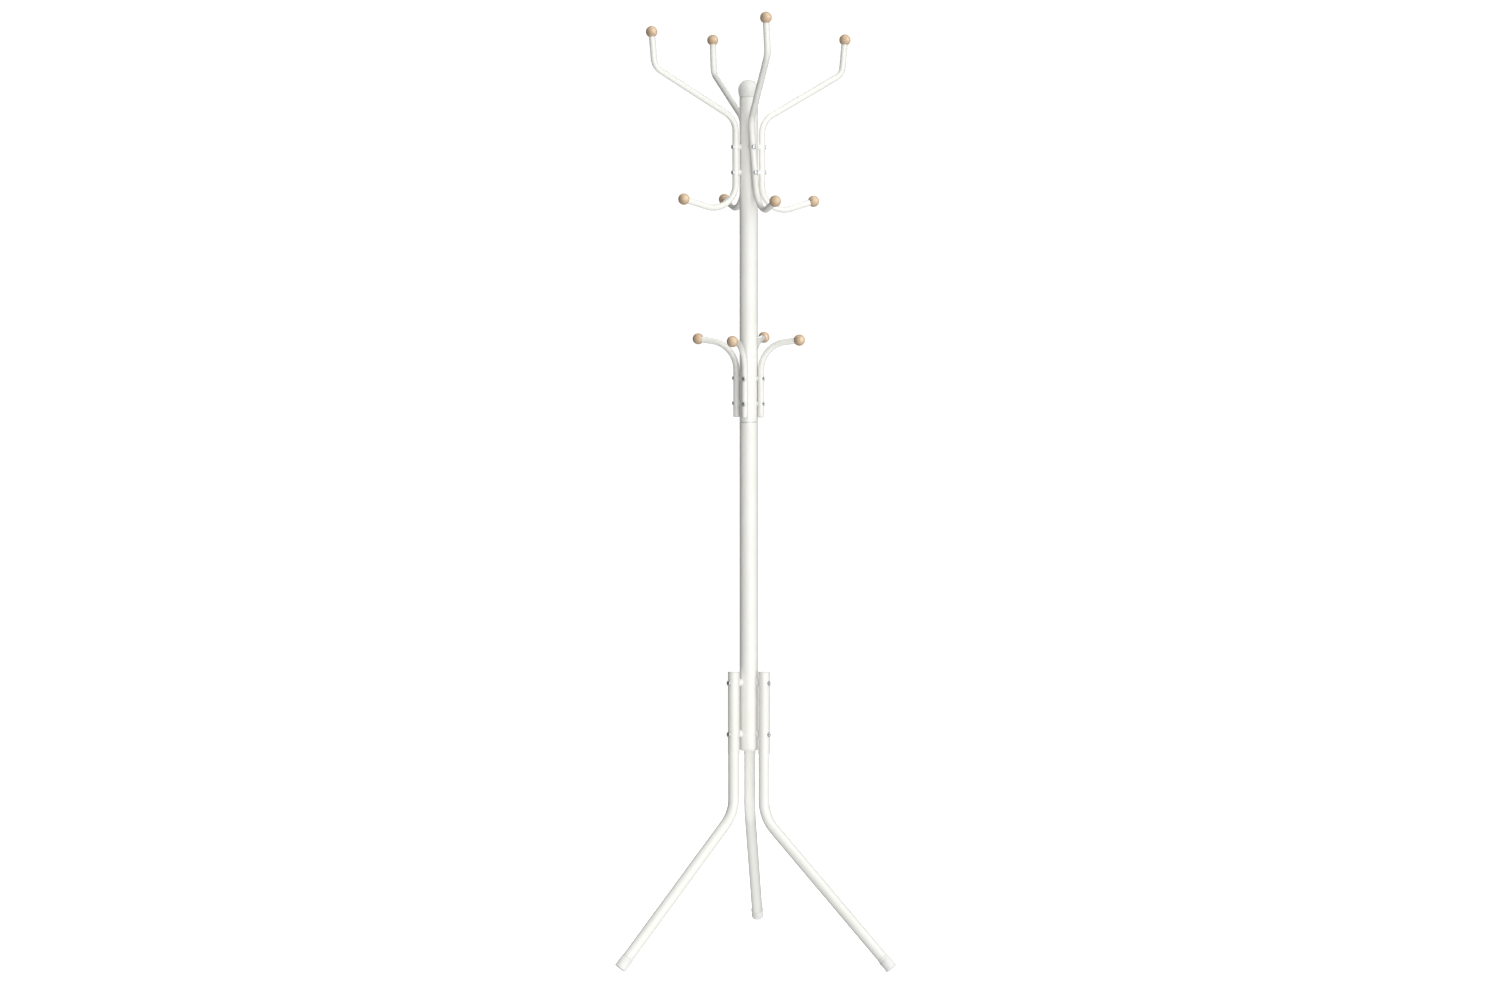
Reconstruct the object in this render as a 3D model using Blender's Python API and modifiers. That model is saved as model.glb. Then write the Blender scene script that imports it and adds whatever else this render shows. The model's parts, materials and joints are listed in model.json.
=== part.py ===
"""Standing coat rack: a tube post on three bent legs, with four top arms, four middle hooks and wooden balls.

Metres, +Z up, floor at z = 0. Each arm, hook and leg is drawn in a frame of its own, whose X axis points
straight out from the post, and an empty turns that frame round the post. Paths are (distance from the post's
axis, height above the floor).
"""

import math

import bmesh
import bpy
from mathutils import Matrix, Vector

GAP = 0.0003  # between pieces that touch
WALL = 0.0012  # of every tube

# Post: two tubes of nearly equal length, pushed over a sleeve.
POST_D = 0.035
POST_BOTTOM = 0.405
POST_TOP = 1.651
POST_SEAM = 1.036
POST_SIDES = 24
JOINER_REACH = 0.030  # of the sleeve, above the seam
JOINER_HANG = 0.060  # of the sleeve, below the seam

# Domed cap on the post, widest a little above its rim.
CAP_BULGE_D = 0.0398
CAP_HEIGHT = 0.033
CAP_STEM = 0.018
CAP_OVERHANG = 0.0003  # of the cap's rim past the post's side

# Top arms: 12 mm tube, crooked outwards at the top and hooked at the bottom.
ARM_D = 0.0120
ARM_AXIS = 0.0270  # from the post's axis to the arm's straight stretch
ARM_BOLTS = (1.557, 1.509)
ARM_ELBOW_Z = 1.606
ARM_TIP_R = 0.1965
ARM_TIP_FLARE = 0.006  # of the tip outwards, over its own length
ARM_CROOK_Z = 1.7024
ARM_TIP_Z = 1.767
ARM_HOOK_BOTTOM_Z = 1.4429
ARM_HOOK_BALL = (0.1324, 1.4588)
ARM_ELBOW_BEND = 0.040
ARM_CROOK_BEND = 0.026
ARM_HOOK_BEND = 0.045

# Middle hooks: the same tube, curving up and out.
HOOK_AXIS = 0.0245
HOOK_BOLTS = (1.119, 1.071)
HOOK_END_Z = 1.046
HOOK_BEND = 0.055
HOOK_RISE = math.radians(8)  # of the run that ends in the ball
HOOK_BALL = (0.1009, 1.193)

# Legs: 22 mm tube, straight down the post and then splayed.
LEG_D = 0.0222
LEG_AXIS = 0.0331
LEG_TOP = 0.5560
LEG_BOLTS = (0.535, 0.4355)
LEG_BEND_Z = 0.278  # where the two straight stretches would meet
LEG_BEND = 0.075

BALL_D = 0.0216
BALL_SEAT = 0.002  # how far a tube's end passes the ball's centre

# Plugs in the ends of the small tubes and of the post.
PLUG_DEPTH = 0.010
PLUG_WALL = 0.0012
HOOK_PLUG_DOME = 0.0016
LEG_CAP_DOME = 0.0020
POST_PLUG_DEPTH = 0.016
POST_PLUG_FLANGE = 0.0022
POST_PLUG_EDGE = 0.0006

# Feet: cups over the legs' lower ends.
FOOT_D = 0.0246
FOOT_LENGTH = 0.026
FOOT_END = 0.003
FOOT_EDGE = 0.0010
SOLE_DEPTH = 0.0017  # taken off the foot's lowest corner to make its flat sole

SMALL_BOLT = {"shank": 0.0050, "head": 0.0088, "head_height": 0.0026}
LEG_BOLT = {"shank": 0.0060, "head": 0.0108, "head_height": 0.0032}
BOLT_REACH = 0.0060  # past the post's wall, into the post

# Angles round the post, anticlockwise from +X in degrees, and how each tube differs from its neighbours as
# the rack stands. An arm may lean sideways on its bolts. `climb`, `elbow` and `drop` raise its tip, raise its
# elbow and lower its hook. `turns` turn what lies above and below the bolts round the arm's straight stretch.
TOP_ARMS = {
    "right": {"angle": 20.9, "lean": 0, "climb": -0.0056, "elbow": 0, "drop": 0.004, "turns": (0, 0)},
    "back": {"angle": 110.9, "lean": 0, "climb": 0, "elbow": 0.003, "drop": 0, "turns": (0, 0)},
    "left": {"angle": 203.0, "lean": 0, "climb": 0.002, "elbow": 0.003, "drop": 0, "turns": (0, 0)},
    "front": {"angle": 290.9, "lean": 4.6, "climb": 0.0235, "elbow": 0, "drop": 0.004, "turns": (-6.9, -2.3)},
}
MIDDLE_HOOKS = {"back": 73.1, "left": 163.4, "front": 252.4, "right": 341.6}
# `reach` is from the post's axis to the middle of the leg's lower end, and `bend` raises the leg's bend.
LEGS = {
    "back": {"angle": 86.7, "reach": 0.311, "bend": 0.0},
    "left": {"angle": 209.1, "reach": 0.2795, "bend": 0.004},
    "right": {"angle": 332.8, "reach": 0.305, "bend": -0.004},
}

TUBE_RESOLUTION = {ARM_D: (3, 1), LEG_D: (4, 2)}  # curve bevel steps outside and inside the tube
STEP = math.radians(16)  # of a bend, between two points of its path


def clear_scene():
    for obj in list(bpy.data.objects):
        bpy.data.objects.remove(obj, do_unlink=True)


def new_collection(name):
    collection = bpy.data.collections.new(name)
    bpy.context.scene.collection.children.link(collection)
    return collection


def new_material(name, colour, roughness, metallic):
    material = bpy.data.materials.new(name)
    material.use_nodes = True
    shader = material.node_tree.nodes["Principled BSDF"]
    shader.inputs["Base Color"].default_value = (*colour, 1.0)
    shader.inputs["Roughness"].default_value = roughness
    shader.inputs["Metallic"].default_value = metallic
    return material


def finish_part(obj, material, parent):
    """Puts a solid in the rack's collection, under its frame, with its material."""
    RACK.objects.link(obj)
    obj.data.materials.append(material)
    obj.parent = parent
    return obj


def make_cutter(obj, parent):
    CUTTERS.objects.link(obj)
    obj.parent = parent
    obj.hide_render = True
    obj.display_type = "WIRE"
    return obj


def cut(obj, cutter):
    boolean = obj.modifiers.new("cut_" + cutter.name, "BOOLEAN")
    boolean.operation = "DIFFERENCE"
    boolean.solver = "EXACT"
    boolean.object = cutter


def new_frame(name, angle, height=0.0, lean=0.0):
    """An empty on the post's axis whose X axis points out at this angle, leaning about that X axis."""
    empty = bpy.data.objects.new(name, None)
    empty.empty_display_size = 0.05
    RACK.objects.link(empty)
    empty.parent = ROOT
    empty.location = (0.0, 0.0, height)
    empty.rotation_euler = (math.radians(lean), 0.0, math.radians(angle))
    return empty


def bent_path(corners, radii):
    """The corners of a path, with each inner one rounded to its bend radius."""
    corners = [Vector(corner) for corner in corners]
    points = [corners[0]]
    for before, corner, after, radius in zip(corners, corners[1:], corners[2:], radii):
        incoming = (corner - before).normalized()
        outgoing = (after - corner).normalized()
        turn = incoming.angle_signed(outgoing)
        tangent = radius * math.tan(abs(turn) / 2)
        steps = max(2, round(abs(turn) / STEP))
        start = corner - incoming * tangent
        side = Vector((-incoming.y, incoming.x)) * (-1 if turn > 0 else 1)
        centre = start + side * radius
        for i in range(steps + 1):
            swung = abs(turn) * i / steps
            points.append(centre - side * radius * math.cos(swung) + incoming * radius * math.sin(swung))
    points.append(corners[-1])
    return points


def turn_at(point, turns):
    """The turn of an (x, z) point: the first of the two above z = 0, the second below it."""
    return math.radians(turns[1] if point[1] < 0.0 else turns[0])


def swung(point, axis, turns):
    """The place of an (x, z) point, turned round the line x = axis."""
    turn = turn_at(point, turns)
    out = point[0] - axis
    return Vector((axis + out * math.cos(turn), out * math.sin(turn), point[1]))


def swept_mesh(name, points, diameter, resolution, axis=0.0, turns=(0.0, 0.0)):
    """The closed mesh of a round rod along (x, z) points."""
    curve = bpy.data.curves.new(name, "CURVE")
    curve.dimensions = "3D"
    curve.bevel_depth = diameter / 2
    curve.bevel_resolution = resolution
    curve.use_fill_caps = True
    spline = curve.splines.new("POLY")
    spline.points.add(len(points) - 1)
    for point, place in zip(spline.points, points):
        point.co = (*swung(place, axis, turns), 1.0)
    rod = bpy.data.objects.new(name, curve)
    bpy.context.scene.collection.objects.link(rod)
    graph = bpy.context.evaluated_depsgraph_get()
    mesh = bpy.data.meshes.new_from_object(rod.evaluated_get(graph))
    bpy.data.objects.remove(rod, do_unlink=True)
    shell = bmesh.new()
    shell.from_mesh(mesh)
    bmesh.ops.remove_doubles(shell, verts=shell.verts, dist=0.00001)
    bmesh.ops.recalc_face_normals(shell, faces=shell.faces)
    shell.to_mesh(mesh)
    shell.free()
    mesh.shade_smooth()
    mesh.set_sharp_from_angle(angle=math.radians(40))
    return mesh


def bent_tube(name, points, diameter, material, parent, holes, axis=0.0, turns=(0.0, 0.0)):
    """A hollow tube along (x, z) points, open at both ends and drilled by the cutter `holes`."""
    outside, inside = TUBE_RESOLUTION[diameter]
    tube = bpy.data.objects.new(name, swept_mesh(name, points, diameter, outside, axis, turns))
    finish_part(tube, material, parent)
    first = points[0] + (points[0] - points[1]).normalized() * WALL * 2
    last = points[-1] + (points[-1] - points[-2]).normalized() * WALL * 2
    longer = [first, *points[1:-1], last]
    core = swept_mesh(name + "_bore", longer, diameter - 2 * WALL, inside, axis, turns)
    bore = bpy.data.objects.new(name + "_bore", core)
    cut(tube, make_cutter(bore, parent))
    cut(tube, holes)
    return tube


def turned(name, profile, steps, closed=False):
    """A solid turned about its own Z axis from (radius, height) points, which run down its outer side."""
    mesh = bpy.data.meshes.new(name)
    edges = [(i, i + 1) for i in range(len(profile) - 1)]
    if closed:
        edges.append((len(profile) - 1, 0))
    mesh.from_pydata([(radius, 0.0, height) for radius, height in profile], edges, [])
    obj = bpy.data.objects.new(name, mesh)
    screw = obj.modifiers.new("turn", "SCREW")
    screw.steps = steps
    screw.render_steps = steps
    screw.use_merge_vertices = True
    screw.merge_threshold = 0.00001
    screw.use_smooth_shade = True
    return obj


def arc(centre, radius, start, end, steps):
    """(radius, height) points on an arc about (x, z), with angles in degrees above the horizontal."""
    angles = [math.radians(start + (end - start) * i / steps) for i in range(steps + 1)]
    return [(centre[0] + radius * math.cos(a), centre[1] + radius * math.sin(a)) for a in angles]


def drill(name, axis, heights, diameter, parent, through_post):
    """One cutter with a pin along X at each height, through a tube on that axis or the post's wall."""
    reach = POST_D / 2 + WALL if through_post else axis + POST_D / 2
    start = POST_D / 2 - 4 * WALL if through_post else POST_D / 2 + WALL / 2
    pins = bmesh.new()
    for height in heights:
        turn = Matrix.Rotation(math.radians(90), 4, "Y")
        place = Matrix.Translation(((start + reach) / 2, 0.0, height)) @ turn
        bmesh.ops.create_cone(
            pins,
            cap_ends=True,
            segments=8,
            radius1=diameter / 2 + GAP,
            radius2=diameter / 2 + GAP,
            depth=reach - start,
            matrix=place,
        )
    mesh = bpy.data.meshes.new(name)
    pins.to_mesh(mesh)
    pins.free()
    return make_cutter(bpy.data.objects.new(name, mesh), parent)


def add_ball(name, centre, direction, parent, turns=(0.0, 0.0)):
    """A wooden ball, bored to take a tube's end that points along (x, z)."""
    radius = BALL_D / 2
    bore = ARM_D / 2 + GAP
    mouth = math.degrees(math.acos(bore / radius))
    floor = BALL_SEAT + GAP
    outside = arc((0.0, 0.0), radius, 90, -mouth, 7)
    profile = [(0.0, radius), *outside[1:], (bore, floor), (0.0, floor)]
    ball = finish_part(turned(name, profile, 14), WOOD, parent)
    ball.location = swung(centre, ARM_AXIS, turns)
    ball.rotation_euler = (0.0, math.atan2(direction[0], direction[1]), turn_at(centre, turns))
    return ball


def add_bolt(name, size, axis, tube_d, height, parent):
    """A domed bolt whose head sits on the tube's outer side and whose shank ends inside the post."""
    head = size["head"] / 2
    tall = size["head_height"]
    shank = size["shank"] / 2
    seat = axis + tube_d / 2 + GAP
    length = seat - (POST_D / 2 - BOLT_REACH)
    crown = [(0.0, tall), (head * 0.62, tall * 0.86), (head * 0.93, tall * 0.42), (head, 0.0)]
    bolt = turned(name, [*crown, (shank, 0.0), (shank, -length), (0.0, -length)], 8)
    finish_part(bolt, STEEL, parent)
    bolt.location = (seat, 0.0, height)
    bolt.rotation_euler = (0.0, math.radians(90), 0.0)
    return bolt


def add_bolts(prefix, size, axis, tube_d, heights, parent):
    for word, height in zip(("upper", "lower"), heights):
        add_bolt(f"{prefix}_{word}", size, axis, tube_d, height, parent)


def toward(start, end):
    return (end[0] - start[0], end[1] - start[1])


def past(end, direction, distance):
    """The point this far beyond `end` along (x, z)."""
    length = math.hypot(*direction)
    return (end[0] + direction[0] / length * distance, end[1] + direction[1] / length * distance)


def top_arm(word, angle, lean, climb, elbow, drop, turns):
    """A top arm with its two balls and two bolts. Returns the cutter for its holes in the post."""
    level = sum(ARM_BOLTS) / 2
    frame = new_frame("top_arm_frame_" + word, angle, level, lean)
    tip = (ARM_TIP_R, ARM_TIP_Z + climb - level)
    crook = (ARM_TIP_R - ARM_TIP_FLARE, ARM_CROOK_Z + climb - level)
    upward = toward(crook, tip)
    knee = (ARM_AXIS, ARM_ELBOW_Z + elbow - level)
    ball = (ARM_HOOK_BALL[0], ARM_HOOK_BALL[1] - drop - level)
    # The run to the lower ball leaves the hook's bend at the slope that makes it end at the ball.
    bend_centre = (ARM_AXIS + ARM_HOOK_BEND, ARM_HOOK_BOTTOM_Z + ARM_HOOK_BEND - drop - level)
    run = toward(bend_centre, ball)
    slope = math.atan2(run[1], run[0]) + math.asin(ARM_HOOK_BEND / math.hypot(*run))
    outward = (math.cos(slope), math.sin(slope))
    corner = (ARM_AXIS, ball[1] - (ball[0] - ARM_AXIS) * math.tan(slope))
    corners = [past(tip, upward, BALL_SEAT), crook, knee, corner, past(ball, outward, BALL_SEAT)]
    points = bent_path(corners, (ARM_CROOK_BEND, ARM_ELBOW_BEND, ARM_HOOK_BEND))
    heights = [height - level for height in ARM_BOLTS]
    holes = drill(f"arm_holes_{word}", ARM_AXIS, heights, SMALL_BOLT["shank"], frame, False)
    bent_tube("top_arm_" + word, points, ARM_D, PAINT, frame, holes, ARM_AXIS, turns)
    add_ball("arm_upper_ball_" + word, tip, upward, frame, turns)
    add_ball("arm_lower_ball_" + word, ball, outward, frame, turns)
    add_bolts("arm_bolt_" + word, SMALL_BOLT, ARM_AXIS, ARM_D, heights, frame)
    return drill(f"post_arm_holes_{word}", ARM_AXIS, heights, SMALL_BOLT["shank"], frame, True)


def middle_hook(word, angle):
    """A middle hook with its ball, end plug and two bolts. Returns the cutter for its holes in the post."""
    frame = new_frame("middle_hook_frame_" + word, angle)
    outward = (math.cos(HOOK_RISE), math.sin(HOOK_RISE))
    corner = (HOOK_AXIS, HOOK_BALL[1] - (HOOK_BALL[0] - HOOK_AXIS) * math.tan(HOOK_RISE))
    points = bent_path([past(HOOK_BALL, outward, BALL_SEAT), corner, (HOOK_AXIS, HOOK_END_Z)], (HOOK_BEND,))
    holes = drill(f"hook_holes_{word}", HOOK_AXIS, HOOK_BOLTS, SMALL_BOLT["shank"], frame, False)
    bent_tube("middle_hook_" + word, points, ARM_D, PAINT, frame, holes)
    add_ball("hook_ball_" + word, HOOK_BALL, outward, frame)
    add_bolts("hook_bolt_" + word, SMALL_BOLT, HOOK_AXIS, ARM_D, HOOK_BOLTS, frame)
    add_tube_plug("hook_end_plug_" + word, ARM_D, HOOK_AXIS, HOOK_END_Z, -1, HOOK_PLUG_DOME, frame)
    return drill(f"post_hook_holes_{word}", HOOK_AXIS, HOOK_BOLTS, SMALL_BOLT["shank"], frame, True)


def add_tube_plug(name, tube_d, axis, height, facing, dome, parent):
    """A plastic plug pushed into a tube's end: +1 faces it up, -1 faces it down."""
    flats = math.cos(math.pi / (4 + 2 * TUBE_RESOLUTION[tube_d][1]))  # the bore is a polygon
    stem = (tube_d / 2 - WALL) * flats - GAP
    rim = tube_d / 2
    hollow = stem - PLUG_WALL
    profile = [(0.0, GAP + dome), (rim * 0.55, GAP + dome * 0.88), (rim * 0.88, GAP + dome * 0.5)]
    profile += [(rim, GAP), (stem, GAP), (stem, -PLUG_DEPTH), (hollow, -PLUG_DEPTH)]
    profile += [(hollow, -PLUG_WALL), (0.0, -PLUG_WALL)]
    plug = finish_part(turned(name, profile, 12), PLASTIC, parent)
    plug.location = (axis, 0.0, height)
    plug.rotation_euler = (0.0 if facing > 0 else math.pi, 0.0, 0.0)
    return plug


def leg(word, angle, reach, bend, floor_cutter):
    """A leg with its top cap, foot and two bolts. Returns the cutter for its holes in the post."""
    frame = new_frame("leg_frame_" + word, angle)
    corner = (LEG_AXIS, LEG_BEND_Z + bend)
    splay = math.atan2(reach - LEG_AXIS, corner[1])
    foot = (reach, FOOT_D / 2 * math.sin(splay) - SOLE_DEPTH)
    down = toward(corner, foot)
    tube_end = past(foot, down, -FOOT_END - GAP)
    points = bent_path([(LEG_AXIS, LEG_TOP), corner, tube_end], (LEG_BEND,))
    holes = drill(f"leg_holes_{word}", LEG_AXIS, LEG_BOLTS, LEG_BOLT["shank"], frame, False)
    bent_tube("leg_" + word, points, LEG_D, PAINT, frame, holes)
    add_bolts("leg_bolt_" + word, LEG_BOLT, LEG_AXIS, LEG_D, LEG_BOLTS, frame)
    add_tube_plug("leg_top_cap_" + word, LEG_D, LEG_AXIS, LEG_TOP, 1, LEG_CAP_DOME, frame)
    add_foot("foot_" + word, foot, down, frame, floor_cutter)
    return drill(f"post_leg_holes_{word}", LEG_AXIS, LEG_BOLTS, LEG_BOLT["shank"], frame, True)


def add_foot(name, end, down, parent, floor_cutter):
    """A cup over the leg's lower end, cut flat by the floor."""
    outer = FOOT_D / 2
    inner = LEG_D / 2 + GAP
    profile = [(0.0, FOOT_END), (inner, FOOT_END), (inner, FOOT_LENGTH)]
    profile += [(outer - FOOT_EDGE / 2, FOOT_LENGTH), (outer, FOOT_LENGTH - FOOT_EDGE)]
    profile += [(outer, FOOT_EDGE), (outer - FOOT_EDGE, 0.0), (0.0, 0.0)]
    foot = finish_part(turned(name, profile, 16), PLASTIC, parent)
    foot.location = (end[0], 0.0, end[1])
    foot.rotation_euler = (0.0, math.atan2(-down[0], -down[1]), 0.0)
    cut(foot, floor_cutter)
    return foot


def post_tube(name, bottom, top, cutters):
    outer = POST_D / 2
    inner = outer - WALL
    profile = [(outer, top), (outer, bottom), (inner, bottom), (inner, top)]
    tube = finish_part(turned(name, profile, POST_SIDES, closed=True), PAINT, ROOT)
    for cutter in cutters:
        cut(tube, cutter)


def add_post_joiner():
    outer = POST_D / 2 - WALL - GAP
    inner = outer - WALL
    top = POST_SEAM + JOINER_REACH
    bottom = POST_SEAM - JOINER_HANG
    profile = [(outer, top), (outer, bottom), (inner, bottom), (inner, top)]
    finish_part(turned("post_joiner", profile, POST_SIDES, closed=True), STEEL, ROOT)


def add_post_cap():
    """A hollow dome that swells past the post and holds on by a stem inside it."""
    rim = POST_D / 2 + CAP_OVERHANG
    bulge = CAP_BULGE_D / 2
    base = POST_TOP + GAP
    waist = base + CAP_HEIGHT - bulge
    stem = POST_D / 2 - WALL - GAP
    bore = stem - 2 * WALL
    dome = arc((0.0, waist), bulge, 90, 0, 6)[1:]
    skirt = [(bulge - CAP_OVERHANG, waist - 0.006), (rim + 2 * CAP_OVERHANG, base + 0.0016), (rim, base)]
    profile = [(0.0, base + CAP_HEIGHT), *dome, *skirt, (stem, base)]
    profile += [(stem, base - CAP_STEM), (bore, base - CAP_STEM), (bore, waist)]
    profile += [(bore * 0.7, waist + bore * 0.6), (0.0, waist + bore * 0.8)]
    finish_part(turned("post_cap", profile, POST_SIDES), PLASTIC, ROOT)


def add_post_bottom_plug():
    """A flanged plug that closes the post's lower end."""
    stem = POST_D / 2 - WALL - GAP
    hollow = stem - PLUG_WALL
    rim = POST_D / 2
    face = -POST_PLUG_FLANGE
    profile = [(0.0, PLUG_WALL), (hollow, PLUG_WALL), (hollow, POST_PLUG_DEPTH), (stem, POST_PLUG_DEPTH)]
    profile += [(stem, -GAP), (rim, -GAP), (rim, face + POST_PLUG_EDGE), (rim - POST_PLUG_EDGE, face)]
    profile += [(0.0, face)]
    plug = finish_part(turned("post_bottom_plug", profile, POST_SIDES), PLASTIC, ROOT)
    plug.location = (0.0, 0.0, POST_BOTTOM)


def make_floor_cutter():
    """A slab whose top is the floor."""
    slab = bmesh.new()
    size = Matrix.Diagonal((1.2, 1.2, 0.05, 1.0))
    bmesh.ops.create_cube(slab, size=1.0, matrix=Matrix.Translation((0.0, 0.0, -0.025)) @ size)
    mesh = bpy.data.meshes.new("floor_cutter")
    slab.to_mesh(mesh)
    slab.free()
    return make_cutter(bpy.data.objects.new("floor_cutter", mesh), ROOT)


def centre_on_floor():
    """Moves the rack so that the middle of its plan box is over the origin."""
    bpy.context.view_layer.update()
    graph = bpy.context.evaluated_depsgraph_get()
    corners = []
    for obj in RACK.objects:
        if obj.type == "MESH":
            solid = obj.evaluated_get(graph)
            mesh = solid.to_mesh()
            corners += [solid.matrix_world @ vertex.co for vertex in mesh.vertices]
            solid.to_mesh_clear()
    xs = [corner.x for corner in corners]
    ys = [corner.y for corner in corners]
    ROOT.location = (-(min(xs) + max(xs)) / 2, -(min(ys) + max(ys)) / 2, 0.0)


clear_scene()
RACK = new_collection("coat_rack")
CUTTERS = new_collection("cutters")
PAINT = new_material("white_paint", (0.86, 0.85, 0.82), 0.38, 0.0)
PLASTIC = new_material("white_plastic", (0.80, 0.81, 0.79), 0.45, 0.0)
WOOD = new_material("natural_wood", (0.62, 0.42, 0.25), 0.55, 0.0)
STEEL = new_material("zinc_plated_steel", (0.62, 0.62, 0.60), 0.30, 1.0)

ROOT = bpy.data.objects.new("rack_axis", None)
RACK.objects.link(ROOT)

floor_slab = make_floor_cutter()
upper_holes = [top_arm(word, **setting) for word, setting in TOP_ARMS.items()]
upper_holes += [middle_hook(word, angle) for word, angle in MIDDLE_HOOKS.items()]
lower_holes = [leg(word, floor_cutter=floor_slab, **setting) for word, setting in LEGS.items()]

post_tube("upper_post", POST_SEAM + GAP, POST_TOP, upper_holes)
post_tube("lower_post", POST_BOTTOM, POST_SEAM - GAP, lower_holes)
add_post_joiner()
add_post_cap()
add_post_bottom_plug()
centre_on_floor()
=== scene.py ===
"""The looks of the standing coat rack: smooth meshes, materials, studio and camera for the CAD frame.

Each arm, hook and leg is drawn in a frame of its own, whose X axis points straight out from the post.
Paths are (distance from the post's axis, height above the floor). All lengths are in metres.
"""

import json
import math
import random

import bmesh
import bpy
from mathutils import Matrix, Vector

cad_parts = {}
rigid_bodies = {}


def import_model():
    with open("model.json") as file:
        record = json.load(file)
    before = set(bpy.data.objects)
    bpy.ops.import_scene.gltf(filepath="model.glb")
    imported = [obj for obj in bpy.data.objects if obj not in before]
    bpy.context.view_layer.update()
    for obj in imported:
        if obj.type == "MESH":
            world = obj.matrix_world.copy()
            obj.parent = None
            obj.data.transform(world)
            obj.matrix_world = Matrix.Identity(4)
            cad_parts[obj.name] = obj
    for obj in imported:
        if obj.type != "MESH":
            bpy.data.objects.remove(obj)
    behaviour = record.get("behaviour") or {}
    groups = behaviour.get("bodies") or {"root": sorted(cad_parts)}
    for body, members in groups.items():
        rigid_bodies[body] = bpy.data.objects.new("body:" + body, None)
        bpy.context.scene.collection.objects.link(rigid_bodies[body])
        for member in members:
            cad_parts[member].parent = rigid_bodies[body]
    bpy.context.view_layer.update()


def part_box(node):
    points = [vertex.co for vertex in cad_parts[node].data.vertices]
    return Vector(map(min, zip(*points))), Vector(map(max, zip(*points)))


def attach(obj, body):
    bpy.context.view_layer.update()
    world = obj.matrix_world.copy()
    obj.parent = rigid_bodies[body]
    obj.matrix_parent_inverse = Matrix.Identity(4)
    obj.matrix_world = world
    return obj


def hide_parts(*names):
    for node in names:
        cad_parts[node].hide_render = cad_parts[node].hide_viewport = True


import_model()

# ---------------------------------------------------------------- dimensions, as in the CAD source

WALL = 0.0012
FIT = 0.0003
PLAY = 0.0002
EASE = 0.0002

POST_R = 0.0175
POST_EDGE = 0.0008
POST_BOTTOM = 0.405
POST_TOP = 1.651
SEAM_Z = 1.036
SEAM_GAP = 0.0006
JOINER_UP = 0.030
JOINER_DOWN = 0.060

CAP_BULGE_R = 0.0199
CAP_HEIGHT = 0.033
CAP_OVERHANG = 0.0002
CAP_STEM = 0.018
CAP_STEM_WALL = 0.0024

PLUG_FLANGE = 0.0022
PLUG_DEPTH = 0.016
DISH_RIM = 0.0040
DISH_DEPTH = 0.0008

ARM_R = 0.0060
ARM_AXIS = 0.0270
ARM_BOLTS = (1.557, 1.509)
ARM_LEVEL = sum(ARM_BOLTS) / 2
ARM_ELBOW_Z = 1.606
ARM_TIP_R = 0.1965
ARM_TIP_FLARE = 0.006
ARM_CROOK_Z = 1.7024
ARM_TIP_Z = 1.767
ARM_HOOK_BOTTOM_Z = 1.4429
ARM_HOOK_BALL = (0.1324, 1.4588)
ARM_ELBOW_BEND = 0.040
ARM_CROOK_BEND = 0.026
ARM_HOOK_BEND = 0.045

HOOK_AXIS = 0.0245
HOOK_BOLTS = (1.119, 1.071)
HOOK_END_Z = 1.046
HOOK_BEND = 0.055
HOOK_RISE = math.radians(8)
HOOK_BALL = (0.1009, 1.193)

LEG_R = 0.0111
LEG_AXIS = 0.0331
LEG_TOP = 0.5560
LEG_BOLTS = (0.535, 0.4355)
LEG_BEND_Z = 0.278
LEG_BEND = 0.075

BALL_R = 0.0108
BALL_SEAT = 0.002
BALL_BORE_R = ARM_R + PLAY
BALL_MOUTH_R = BALL_BORE_R + 0.0004

FOOT_R = 0.0123
FOOT_LENGTH = 0.026
FOOT_END = 0.003
FOOT_EDGE = 0.0012
FOOT_BAND = 0.0022
GROOVE_WIDTH = 0.0016
GROOVE_DEPTH = 0.0003
GROOVE_SLOPE = 0.0004
SOLE_DEPTH = 0.0017

TUBE_PLUG_DEPTH = 0.010
TUBE_PLUG_WEB = 0.001
HOOK_PLUG_DOME = 0.0016
LEG_CAP_DOME = 0.0020

SMALL_BOLT = {"shank": 0.0025, "head": 0.0044, "tall": 0.0026, "key": 0.00135}
LEG_BOLT = {"shank": 0.0030, "head": 0.0054, "tall": 0.0032, "key": 0.0017}
BOLT_REACH = 0.0060
ARM_SPACER_R = 0.0056
HOOK_SPACER_R = 0.0048
LEG_SPACER_R = 0.0070
SPACER_EDGE = 0.0004

# How each arm, hook and leg differs from its kind: degrees round the post, degrees of sideways lean and of
# turn round its straight stretch (above and below the bolts), and shifts of its bends and ends in metres.
TOP_ARMS = {
    "right": {"angle": 20.9, "lean": 0, "climb": -0.0056, "elbow": 0, "drop": 0.004, "turns": (0, 0)},
    "back": {"angle": 110.9, "lean": 0, "climb": 0, "elbow": 0.003, "drop": 0, "turns": (0, 0)},
    "left": {"angle": 203.0, "lean": 0, "climb": 0.002, "elbow": 0.003, "drop": 0, "turns": (0, 0)},
    "front": {"angle": 290.9, "lean": 4.6, "climb": 0.0235, "elbow": 0, "drop": 0.004, "turns": (-6.9, -2.3)},
}
MIDDLE_HOOKS = {"back": 73.1, "left": 163.4, "front": 252.4, "right": 341.6}
LEGS = {
    "back": {"angle": 86.7, "reach": 0.311, "bend": 0},
    "left": {"angle": 209.1, "reach": 0.2795, "bend": 0.004},
    "right": {"angle": 332.8, "reach": 0.305, "bend": -0.004},
}

# ---------------------------------------------------------------- mesh detail

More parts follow.
